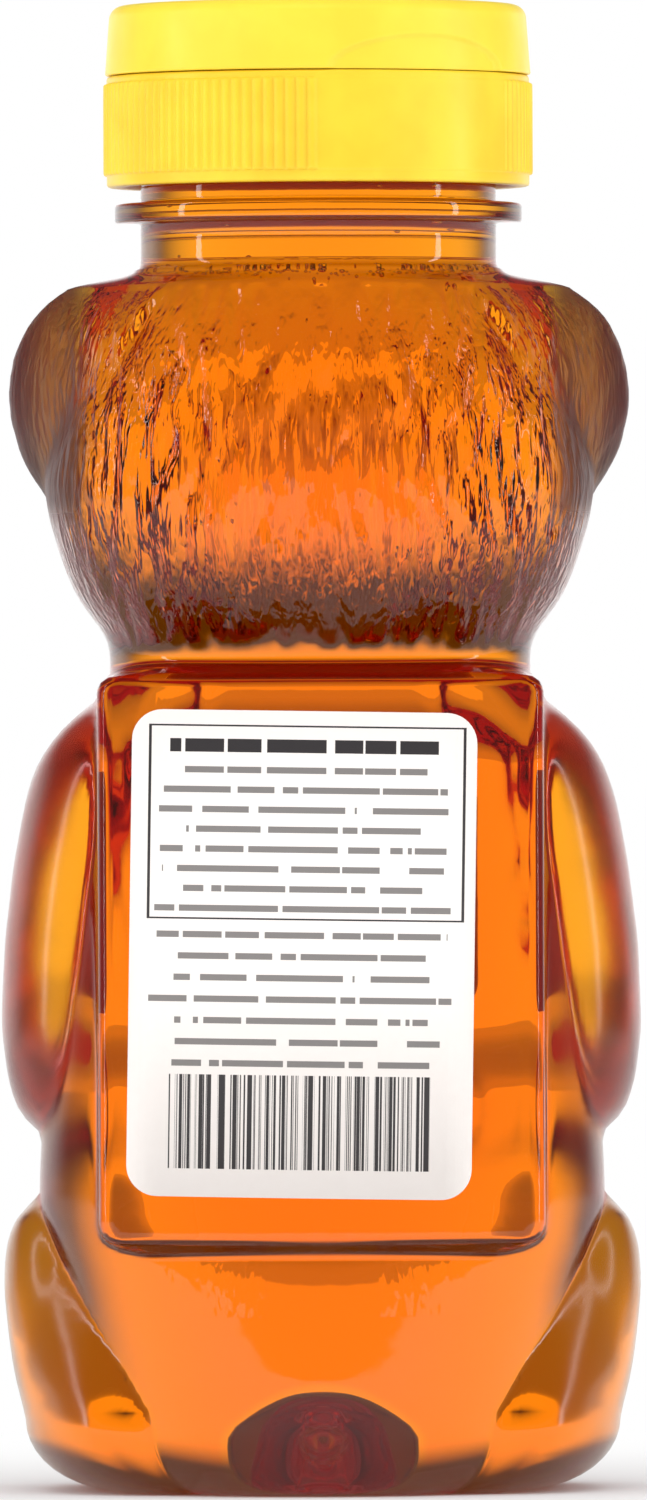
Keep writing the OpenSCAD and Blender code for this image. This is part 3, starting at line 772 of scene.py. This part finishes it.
def lidMesh():
    r, bore, plug, tip = [lidLook[key] for key in ("radius", "bore", "plugRadius", "plugZ")]
    curve, ceiling = lidLook["topRound"], topZ - lidLook["wall"]
    rows = [levelRow(x, topZ) for x in (0, 4, 8, 12, 16, 18.4)]
    for t in steps(90, 0, 10):
        a = math.radians(t)
        outward, down = r - lidLook["draft"] - curve * (1 - math.cos(a)), curve * (1 - math.sin(a))
        rows.append(lidRow(outward, topZ - down))
    side = steps(topZ - curve - 0.4, edgeZ + 0.3, 0.16)
    rows += [lidRow(r - lidLook["draft"] * (z - edgeZ) / (topZ - curve - edgeZ), z) for z in side]
    rows += rowsAt([(r, edgeZ + 0.2), (r - 0.06, edgeZ + 0.06), (r - 0.2, edgeZ)], lidRow)
    rows += rowsAt([
        (bore + 0.15, edgeZ), (bore, edgeZ + 0.15), (bore, ceiling - 0.8), (bore - 0.25, ceiling - 0.25),
        (bore - 0.8, ceiling), (12, ceiling), (plug + 0.2, ceiling), (plug, ceiling - 0.2),
        (plug, tip + 1.4), (plug - 0.3, tip + 0.1), (plug - 0.45, tip), (0, tip)])
    return rollUp(rows, lidLook["columns"])


finishPiece("closureLid", lidMesh(), lidPlasticPaintedLight, "lid", ["closure_lid"])

# The living hinge is a web on the flats of both parts, thinned along its middle
hingeLook = {"width": 9, "half": 2, "thick": 0.5, "thin": 0.28, "thinHalf": 1, "bend": 0.75,
             "cutHalf": 1.6, "cutStep": 0.16}
hingeR = closureLook["hingeFlat"] + hingeLook["thick"] / 2


def hingeMesh():
    bm = bmesh.new()
    bmesh.ops.create_cube(bm, size=1)
    width, tall = hingeLook["width"], 2 * hingeLook["half"]
    bmesh.ops.scale(bm, vec=(hingeLook["thick"], width, tall), verts=bm.verts)
    bmesh.ops.bevel(bm, geom=bm.edges, offset=0.1, offset_type="OFFSET", segments=2, profile=0.5,
                    affect="EDGES", material=-1)
    cut = hingeLook["cutHalf"]
    for z in steps(-cut, cut, hingeLook["cutStep"]) + [cut]:
        bmesh.ops.bisect_plane(bm, geom=bm.verts[:] + bm.edges[:] + bm.faces[:], plane_co=(0, 0, z),
                               plane_no=(0, 0, 1), dist=0.0001)
    for vert in bm.verts:
        if vert.co.x > 0:
            vert.co.x -= hingeLook["thin"] * ramp(1 - abs(vert.co.z) / hingeLook["thinHalf"])
    bmesh.ops.translate(bm, vec=(hingeR, 0, splitZ), verts=bm.verts)
    turn = Matrix.Rotation(math.radians(hingeAngle), 3, "Z")
    bmesh.ops.rotate(bm, cent=(0, 0, 0), matrix=turn, verts=bm.verts)
    turnOutward(bm)
    return bm


livingHinge = finishPiece("livingHinge", hingeMesh(), lidPlasticPaintedLight, None, ["living_hinge"])
hingeAt = polar(hingeR, hingeAngle, splitZ)
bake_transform(livingHinge)

# Paper labels on the back panel and on the chest, with plain bars where print would be.
# Side is 1 at the back and -1 at the front, and wall is the form's own wall there.
backLabelLook = {"side": 1, "size": (33.7, 47.5), "at": (1.9, 53.1), "tilt": 1.0,
                 "wall": (form["slabY"], form["slabBend"])}
frontLabelLook = {"side": -1, "size": (25, 24), "at": (0, 59), "tilt": 0,
                  "wall": (form["chestY"], form["chestBend"])}
paperLook = {"round": 3, "gap": 0.03, "thick": 0.15, "roughness": 0.42, "ink": (0.045, 0.04, 0.042, 1),
             "white": ((0.955, 0.89, 0.85, 1), (0.98, 0.925, 0.885, 1)),
             "bare": ((0.82, 0.77, 0.72, 1), (0.9, 0.85, 0.8, 1))}


def labelMesh(look):
    bm = bmesh.new()
    bmesh.ops.create_grid(bm, x_segments=1, y_segments=1, size=0.5)
    bmesh.ops.scale(bm, vec=(look["size"][0], look["size"][1], 1), verts=bm.verts)
    bmesh.ops.bevel(bm, geom=bm.verts, offset=paperLook["round"], offset_type="OFFSET", segments=10,
                    profile=0.5, affect="VERTICES", material=-1)
    half = look["size"][0] / 2
    for x in steps(-half, half, 0.8)[1:]:
        bmesh.ops.bisect_plane(bm, geom=bm.verts[:] + bm.edges[:] + bm.faces[:], plane_co=(x, 0, 0),
                               plane_no=(1, 0, 0), dist=0.0001)
    grown = bmesh.ops.extrude_face_region(bm, geom=bm.faces)
    raised = [item for item in grown["geom"] if isinstance(item, bmesh.types.BMVert)]
    bmesh.ops.translate(bm, vec=(0, 0, paperLook["thick"]), verts=raised)
    turn = Matrix.Rotation(math.radians(-look["tilt"]), 3, "Z")
    bmesh.ops.rotate(bm, cent=(0, 0, 0), matrix=turn, verts=bm.verts)
    side, (wallY, bend) = look["side"], look["wall"]
    for vert in bm.verts:
        x = look["at"][0] - side * vert.co.x
        y = wallY - x * x / (2 * bend) + paperLook["gap"] + vert.co.z
        vert.co = (x, side * y, look["at"][1] + vert.co.y)
    turnOutward(bm)
    for face in bm.faces:
        face.material_index = 0 if side * face.normal.y > 0.5 else 1
    return bm


def paperFinish(sheet, color, fibre):
    sheet.output(surface=sheet.add("BsdfPrincipled", None, {
        "Base Color": color, "Roughness": fibre * 0.1 + paperLook["roughness"], "IOR": 1.45,
        "Normal": sheet.bump(fibre + sheet.noise(90, 2) * 2, 0.00003)}))


def barePaper(name):
    material, sheet = newMaterial(name)
    fibre = sheet.noise(900, 4, 0.6)
    paperFinish(sheet, sheet.mixColor(fibre, *paperLook["bare"]), fibre)
    return material


def labelPaper(name, look, printed):
    material, sheet = newMaterial(name)
    x, y, z = sheet.spot()
    across = (x / mm - look["at"][0]) * -look["side"]
    up = z / mm - look["at"][1]
    a = math.radians(look["tilt"])
    u = across * math.cos(a) - up * math.sin(a)
    v = across * math.sin(a) + up * math.cos(a)
    ink = printed(sheet, u, v)
    fibre = sheet.noise(900, 4, 0.6)
    paper = sheet.mixColor(fibre, *paperLook["white"])
    paperFinish(sheet, sheet.mixColor(ink, paper, paperLook["ink"]), fibre)
    return [material, barePaper(name + "Under")]


# Rows of bars, each row with ends of its own, broken up into words
def wordBars(sheet, u, v, top, pitch, count, tall, reach, gaps=0.56):
    down = (v * -1 + top) / pitch
    row = down.calc("FLOOR")
    inRows = (row > -0.5) * (row < count - 0.5)
    line = (down.calc("FRACT") * pitch).band(pitch / 2, tall / 2)
    ends = sheet.add("TexWhiteNoise", {"noise_dimensions": "1D"}, {"W": row + top})
    inside = abs(u) < ends * -0.22 * reach + reach
    words = sheet.noise(1, 1, 0.6, sheet.point(u * 0.62, row * 3.7)) < gaps
    return inRows * line * inside * words


def backPrint(sheet, u, v):
    box = abs(u - 0.3).calc("MAXIMUM", abs(v - 12.83) * (15.45 / 9.47)).band(15.35, 0.14)
    head = wordBars(sheet, u, v, 21.5, 2.4, 1, 1.3, 14.5, 0.6)
    rows = wordBars(sheet, u, v, 18.9, 1.93, 8, 0.62, 14.6, 0.6) * 0.78
    low = wordBars(sheet, u, v, 2.9, 2.09, 7, 0.62, 15.2, 0.6) * 0.78
    stripes = sheet.noise(1, 3, 0.8, sheet.point(u * 1.5)) > 0.5
    stripes = stripes * (abs(u) < 12.8) * v.band(-16.4, 4.6)
    return (box + head + rows + low + stripes).calc("MINIMUM", 1)


def frontPrint(sheet, u, v):
    box = abs(u).calc("MAXIMUM", abs(v) + 0.5).band(11.2, 0.16)
    rows = wordBars(sheet, u, v, -2.5, 1.9, 3, 0.8, 8.5)
    band = v.band(3.2, 2.6) * (abs(u) < 8.5)
    return (box + rows + band * 0.45).calc("MINIMUM", 1)


finishPiece("backLabel", labelMesh(backLabelLook), labelPaper("backPaper", backLabelLook, backPrint),
            "bottle", ["back_label"])
finishPiece("frontLabel", labelMesh(frontLabelLook), labelPaper("frontPaper", frontLabelLook, frontPrint),
            "bottle", ["front_label"])


# The seal disc is the frame's own solid, in a pale foam
foamColors = (0.78, 0.78, 0.74, 1), (0.86, 0.86, 0.83, 1)


def sealFoam():
    material, sheet = newMaterial("sealFoam")
    cells = sheet.noise(1500, 3)
    sheet.output(surface=sheet.add("BsdfPrincipled", None, {
        "Base Color": sheet.mixColor(cells, *foamColors),
        "Roughness": cells * 0.2 + 0.5, "Normal": sheet.bump(cells, 0.00005)}))
    return material


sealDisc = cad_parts["seal_disc"]
sealDisc.data.materials.clear()
sealDisc.data.materials.append(sealFoam())

# A pale floor, a white studio round it and soft lamps
studio = {"floorRadius": 0.7, "shadowRadius": 0.16, "throughShadowLevels": (0.4, 0.75), "throughShadowZone": (0.06, 0.45),
          "ambient": 0.7, "backLevel": 1.15, "frontLevel": 0.22, "backZone": (0.5, 0.84), "backTurn": 5,
          "ceilingLevel": 0.1, "ceilingZone": (0.1, 0.35), "groundLevel": 0.7, "groundZone": (0.2, 0.5),
          "lampAim": (0, 0, 0.075), "cameraAt": (-0.0003, 1.9, 0.07304), "lens": 462, "roll": 0.23}


def makeFloor():
    bm = bmesh.new()
    bmesh.ops.create_circle(bm, cap_ends=True, segments=96, radius=studio["floorRadius"])
    mesh = bpy.data.meshes.new("floor")
    bm.to_mesh(mesh)
    bm.free()
    floor = bpy.data.objects.new("floor", mesh)
    bpy.context.scene.collection.objects.link(floor)
    material, sheet = newMaterial("floorWhite")
    spot = sheet.add("TexCoord", output="Object")
    away = sheet.add("VectorMath", {"operation": "LENGTH"}, {0: spot}, "Value")
    far = away.smooth(0.35 * studio["shadowRadius"], studio["shadowRadius"])
    direct = sheet.add("LightPath", output="Is Camera Ray")
    through = sheet.add("LightPath", output="Is Transmission Ray")
    plain = sheet.add("BsdfDiffuse", None, {"Color": (0.93, 0.93, 0.93, 1)})
    # Seen through the bottle, the floor glows with painted shadow: dimmer near the bottle and brighter away
    # from it
    low, high = studio["throughShadowLevels"]
    level = direct + through * (away.smooth(*studio["throughShadowZone"]) * (high - low) + low)
    bright = sheet.add("Emission", None, {"Color": (1, 1, 1, 1), "Strength": level.calc("MINIMUM", 1)})
    share = far.calc("MAXIMUM", through) * (direct + through).calc("MINIMUM", 1)
    sheet.output(surface=sheet.add("MixShader", None, {0: share, 1: plain, 2: bright}))
    mesh.materials.append(material)


# The world is bright behind the bottle, darker above and at the sides, and plain white to the camera
def makeWorld():
    world = bpy.data.worlds.new("studio")
    bpy.context.scene.world = world
    sheet = Sheet(world)
    x, y, z = sheet.spot("Generated")
    across = (x * x + y * y).calc("SQRT")
    turn = math.radians(studio["backTurn"])
    behind = ((x * math.sin(turn) - y * math.cos(turn)) / across).smooth(*studio["backZone"])
    level = behind * (studio["backLevel"] - studio["frontLevel"]) + studio["frontLevel"]
    ceiling = z.smooth(*studio["ceilingZone"])
    level = level * (1 - ceiling) + ceiling * studio["ceilingLevel"]
    ground = (z * -1).smooth(*studio["groundZone"])
    level = level * (1 - ground) + ground * studio["groundLevel"]
    direct = sheet.add("LightPath", output="Is Camera Ray")
    through = sheet.add("LightPath", output="Is Transmission Ray")
    glossy = sheet.add("LightPath", output="Is Glossy Ray")
    shown = (through + glossy).calc("MINIMUM", 1)
    strength = shown * level + (1 - shown) * studio["ambient"]
    strength = direct + (1 - direct) * strength
    white = sheet.add("Background", None, {"Color": (1, 1, 1, 1), "Strength": strength})
    sheet.output("World", surface=white)


def makeLamp(name, at, size, power, shiny=False):
    data = bpy.data.lights.new(name, "AREA")
    data.shape, data.size, data.size_y, data.energy = "RECTANGLE", size[0], size[1], power
    lamp = bpy.data.objects.new(name, data)
    lamp.location = at
    lamp.rotation_euler = (Vector(studio["lampAim"]) - Vector(at)).to_track_quat("-Z", "Y").to_euler()
    lamp.visible_transmission = lamp.visible_camera = False
    lamp.visible_glossy = shiny
    bpy.context.scene.collection.objects.link(lamp)


makeFloor()
makeWorld()
makeLamp("leftBox", (0.95, 0.65, 0.35), (0.9, 1.1), 5.2)
makeLamp("rightBox", (-1.0, 0.55, 0.35), (0.8, 1.1), 4.8)
makeLamp("topBox", (0, 0.7, 1.1), (0.9, 0.6), 3.0)
makeLamp("behindBox", (0.1, -1.0, 0.9), (0.9, 0.6), 2.0)
makeLamp("leftStrip", (0.9, 0.1, 0.2), (0.07, 0.9), 1.0, True)
makeLamp("rightStrip", (-0.9, 0.1, 0.2), (0.07, 0.9), 1.0, True)

camera = bpy.data.objects.new("camera", bpy.data.cameras.new("camera"))
camera.data.sensor_width, camera.data.lens = 36, studio["lens"]
camera.data.clip_start, camera.data.clip_end = 0.05, 20
camera.location = studio["cameraAt"]
camera.rotation_euler = (math.radians(90), math.radians(studio["roll"]), math.radians(180))
bpy.context.scene.collection.objects.link(camera)
bpy.context.scene.camera = camera
bpy.context.scene.view_settings.view_transform = "Standard"
cycles = bpy.context.scene.cycles
cycles.max_bounces, cycles.transmission_bounces, cycles.transparent_max_bounces = 28, 28, 40
print("stage, lamps and camera stand")

bpy.context.view_layer.update()
